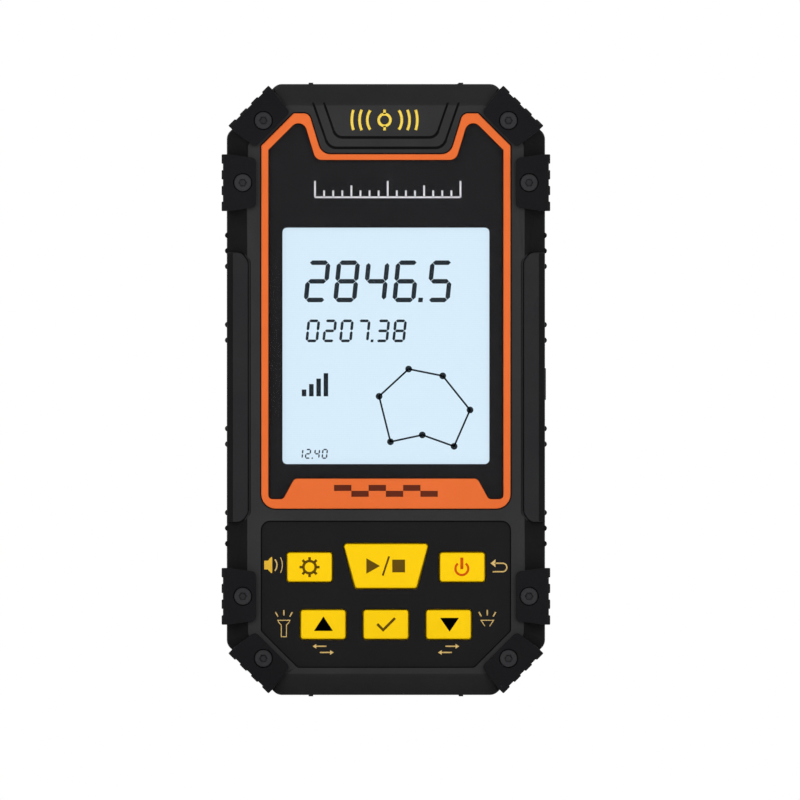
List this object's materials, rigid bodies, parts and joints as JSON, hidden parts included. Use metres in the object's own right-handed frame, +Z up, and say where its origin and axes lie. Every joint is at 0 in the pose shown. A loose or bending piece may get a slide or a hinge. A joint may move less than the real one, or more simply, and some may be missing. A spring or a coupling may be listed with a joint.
{
  "type": "gps land area meter",
  "caption": "Rugged handheld satellite land area meter with a framed LCD, push keys, screwed-on bumper lugs, side grips, a torch in the top edge and a hinged charging port cover.",
  "frame": {"origin": "middle of the footprint, level with the two ribs of the bottom edge on which the meter stands", "axes": "+X to the meter's right as seen from the front, +Y from the screen towards the back, +Z up along the length, towards the torch"},
  "size_m": [0.0724, 0.0322, 0.135],
  "materials": {
    "shell_plastic": "moulded ABS, fine matt texture",
    "bumper_rubber": "moulded rubber, matt",
    "grip_rubber": "soft rubber, satin",
    "seal_rubber": "silicone, matt",
    "trim_plastic": "painted plastic, satin",
    "clear_acrylic": "clear, gloss",
    "black_print": "printed film, satin",
    "adhesive_tape": "foam tape",
    "lcd_cell": "LCD glass under polarising film",
    "white_plastic": "moulded, matt",
    "ribbon_film": "polyimide film",
    "connector_plastic": "moulded nylon",
    "key_plastic": "satin gloss",
    "switch_plastic": "moulded, matt",
    "board_laminate": "glass fibre laminate",
    "bare_steel": "nickel plated",
    "black_steel": "black oxide",
    "antenna_ceramic": "fired ceramic",
    "battery_pouch": "laminated foil",
    "foam": "closed-cell foam",
    "lead_insulation": "wire insulation",
    "speaker_steel": "painted",
    "contact_brass": "plated",
    "led_board": "white solder mask",
    "led_resin": "cast resin",
    "plated_reflector": "bright plating"
  },
  "bodies": {
    "case": {"front_shell": "shell_plastic", "rear_cover": "shell_plastic", "lug_top_left": "bumper_rubber", "lug_top_right": "bumper_rubber", "lug_bottom_left": "bumper_rubber", "lug_bottom_right": "bumper_rubber", "lug_left_upper": "bumper_rubber", "lug_left_lower": "bumper_rubber", "lug_right_upper": "bumper_rubber", "lug_right_lower": "bumper_rubber", "grip_front_left": "grip_rubber", "grip_front_right": "grip_rubber", "grip_rear_left": "grip_rubber", "grip_rear_right": "grip_rubber", "case_seal": "seal_rubber", "keypad_seal": "seal_rubber", "trim_bezel": "trim_plastic", "window_lens": "clear_acrylic", "torch_lens": "clear_acrylic", "lens_mask": "black_print", "keypad_panel": "black_print", "lens_tape": "adhesive_tape", "lcd_panel": "lcd_cell", "lcd_backlight": "white_plastic", "lcd_holder": "white_plastic", "lcd_ribbon": "ribbon_film", "lcd_socket": "connector_plastic", "battery_plug": "connector_plastic", "switch_bodies": "switch_plastic", "processor": "switch_plastic", "main_board": "board_laminate", "board_screws": "bare_steel", "gnss_module": "bare_steel", "usb_socket": "bare_steel", "port_pin": "bare_steel", "bumper_screws": "black_steel", "case_screws": "black_steel", "gnss_antenna": "antenna_ceramic", "battery": "battery_pouch", "battery_pad": "foam", "battery_lead": "lead_insulation", "speaker": "speaker_steel", "spring_contacts": "contact_brass", "torch_board": "led_board", "torch_led": "led_resin", "torch_reflector": "plated_reflector"},
    "button_settings": {"key_settings": "key_plastic", "plunger_settings": "switch_plastic"},
    "button_start_stop": {"key_start_stop": "key_plastic", "plunger_start_stop": "switch_plastic"},
    "button_power": {"key_power": "key_plastic", "plunger_power": "switch_plastic"},
    "button_up": {"key_up": "key_plastic", "plunger_up": "switch_plastic"},
    "button_enter": {"key_enter": "key_plastic", "plunger_enter": "switch_plastic"},
    "button_down": {"key_down": "key_plastic", "plunger_down": "switch_plastic"},
    "port_flap": {"port_cover": "bumper_rubber"}
  },
  "joints": [
    {"name": "press_settings", "type": "slide", "parent": "case", "child": "button_settings", "axis": [0, 1, 0], "range_m": [0, 0.0006], "stiffness_N_per_m": 2000},
    {"name": "press_start_stop", "type": "slide", "parent": "case", "child": "button_start_stop", "axis": [0, 1, 0], "range_m": [0, 0.0006], "stiffness_N_per_m": 2000},
    {"name": "press_power", "type": "slide", "parent": "case", "child": "button_power", "axis": [0, 1, 0], "range_m": [0, 0.0006], "stiffness_N_per_m": 2000},
    {"name": "press_up", "type": "slide", "parent": "case", "child": "button_up", "axis": [0, 1, 0], "range_m": [0, 0.0006], "stiffness_N_per_m": 2000},
    {"name": "press_enter", "type": "slide", "parent": "case", "child": "button_enter", "axis": [0, 1, 0], "range_m": [0, 0.0006], "stiffness_N_per_m": 2000},
    {"name": "press_down", "type": "slide", "parent": "case", "child": "button_down", "axis": [0, 1, 0], "range_m": [0, 0.0006], "stiffness_N_per_m": 2000},
    {"name": "swing_port_cover", "type": "hinge", "parent": "case", "child": "port_flap", "pos_m": [0.03365, -0.0023, 0.0687], "axis": [0, 0, 1], "range_deg": [0, 100]}
  ]
}
